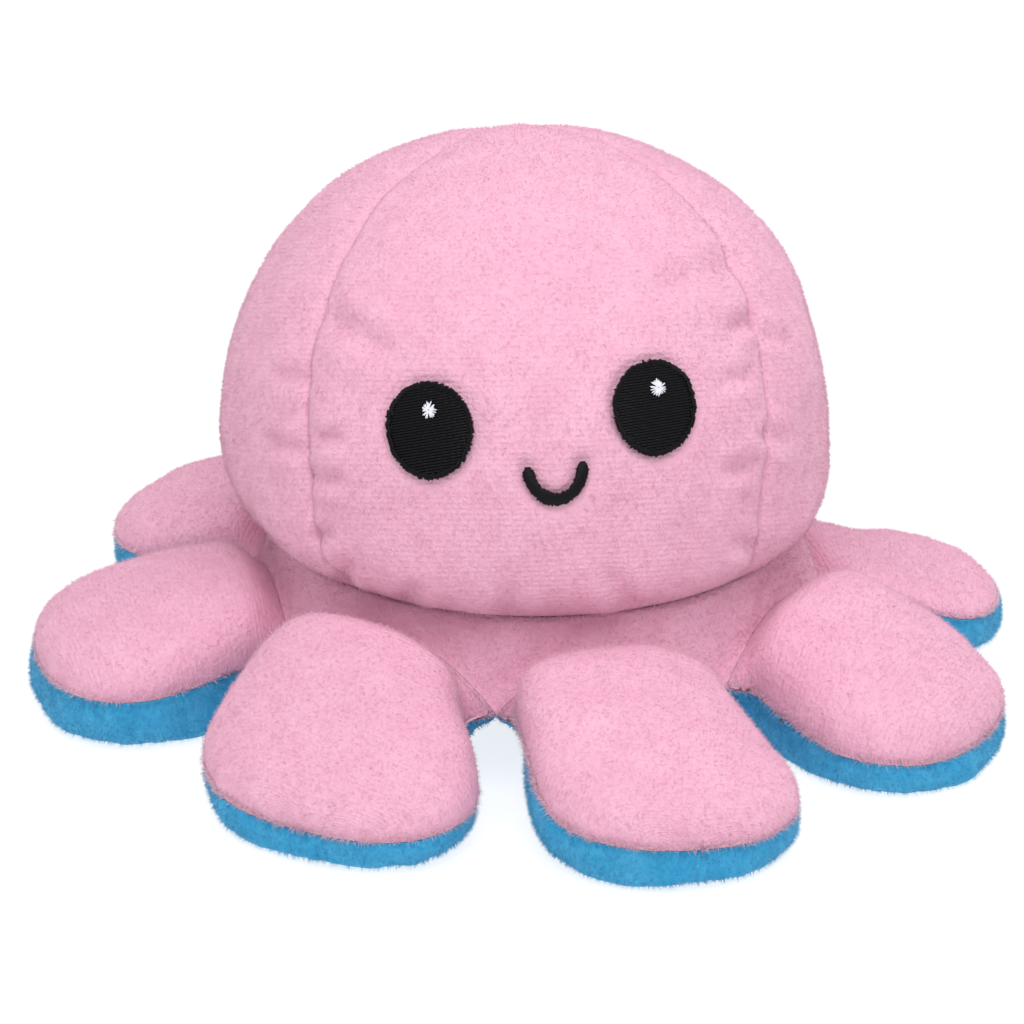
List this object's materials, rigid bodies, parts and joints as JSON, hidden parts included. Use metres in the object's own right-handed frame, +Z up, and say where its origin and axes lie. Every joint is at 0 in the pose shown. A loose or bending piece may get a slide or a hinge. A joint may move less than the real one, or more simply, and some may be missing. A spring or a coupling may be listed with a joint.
{
  "type": "plush octopus",
  "caption": "Stuffed octopus toy with a round head, an embroidered face and short padded arms that bend at the root; it is hollow below so that it can be turned inside out.",
  "frame": {"origin": "Centre of the round footprint, on the surface that the toy stands on.", "axes": "+Z is up and is the shortest extent. The face looks along -Y, and +X is to the right of someone who looks at the face."},
  "size_m": [0.2118, 0.2118, 0.1157],
  "materials": {
    "pink_plush": "matte short-pile pink plush",
    "blue_plush": "matte short-pile azure blue plush",
    "black_thread": "satin-stitched near-black embroidery thread",
    "white_thread": "satin-stitched white embroidery thread",
    "polyester_filling": "matte white polyester fibre filling"
  },
  "bodies": {
    "body": {"head_front_panel": "pink_plush", "head_right_panel": "pink_plush", "head_back_panel": "pink_plush", "head_left_panel": "pink_plush", "skirt_cover": "pink_plush", "skirt_lining": "blue_plush", "inner_head_front_panel": "blue_plush", "inner_head_right_panel": "blue_plush", "inner_head_back_panel": "blue_plush", "inner_head_left_panel": "blue_plush", "body_filling": "polyester_filling", "left_eye": "black_thread", "right_eye": "black_thread", "left_eye_glint": "white_thread", "right_eye_glint": "white_thread", "smile_embroidery": "black_thread"},
    "arm_1": {"arm_1_top_cover": "pink_plush", "arm_1_underside": "blue_plush", "arm_1_filling": "polyester_filling"},
    "arm_2": {"arm_2_top_cover": "pink_plush", "arm_2_underside": "blue_plush", "arm_2_filling": "polyester_filling"},
    "arm_3": {"arm_3_top_cover": "pink_plush", "arm_3_underside": "blue_plush", "arm_3_filling": "polyester_filling"},
    "arm_4": {"arm_4_top_cover": "pink_plush", "arm_4_underside": "blue_plush", "arm_4_filling": "polyester_filling"},
    "arm_5": {"arm_5_top_cover": "pink_plush", "arm_5_underside": "blue_plush", "arm_5_filling": "polyester_filling"},
    "arm_6": {"arm_6_top_cover": "pink_plush", "arm_6_underside": "blue_plush", "arm_6_filling": "polyester_filling"},
    "arm_7": {"arm_7_top_cover": "pink_plush", "arm_7_underside": "blue_plush", "arm_7_filling": "polyester_filling"},
    "arm_8": {"arm_8_top_cover": "pink_plush", "arm_8_underside": "blue_plush", "arm_8_filling": "polyester_filling"}
  },
  "joints": [
    {"name": "arm_1_lift", "type": "hinge", "parent": "body", "child": "arm_1", "pos_m": [-0.03201, -0.04836, 0.032], "axis": [-0.8339, 0.5519, 0], "range_deg": [-8, 40], "stiffness_Nm_per_rad": 0.02},
    {"name": "arm_2_lift", "type": "hinge", "parent": "body", "child": "arm_2", "pos_m": [0.01156, -0.05684, 0.032], "axis": [-0.9799, -0.1994, 0], "range_deg": [-8, 40], "stiffness_Nm_per_rad": 0.02},
    {"name": "arm_3_lift", "type": "hinge", "parent": "body", "child": "arm_3", "pos_m": [0.04836, -0.03201, 0.032], "axis": [-0.5519, -0.8339, 0], "range_deg": [-8, 40], "stiffness_Nm_per_rad": 0.02},
    {"name": "arm_4_lift", "type": "hinge", "parent": "body", "child": "arm_4", "pos_m": [0.05684, 0.01156, 0.032], "axis": [0.1994, -0.9799, 0], "range_deg": [-8, 40], "stiffness_Nm_per_rad": 0.02},
    {"name": "arm_5_lift", "type": "hinge", "parent": "body", "child": "arm_5", "pos_m": [0.03201, 0.04836, 0.032], "axis": [0.8339, -0.5519, 0], "range_deg": [-8, 40], "stiffness_Nm_per_rad": 0.02},
    {"name": "arm_6_lift", "type": "hinge", "parent": "body", "child": "arm_6", "pos_m": [-0.01156, 0.05684, 0.032], "axis": [0.9799, 0.1994, 0], "range_deg": [-8, 40], "stiffness_Nm_per_rad": 0.02},
    {"name": "arm_7_lift", "type": "hinge", "parent": "body", "child": "arm_7", "pos_m": [-0.04836, 0.03201, 0.032], "axis": [0.5519, 0.8339, 0], "range_deg": [-8, 40], "stiffness_Nm_per_rad": 0.02},
    {"name": "arm_8_lift", "type": "hinge", "parent": "body", "child": "arm_8", "pos_m": [-0.05684, -0.01156, 0.032], "axis": [-0.1994, 0.9799, 0], "range_deg": [-8, 40], "stiffness_Nm_per_rad": 0.02}
  ]
}
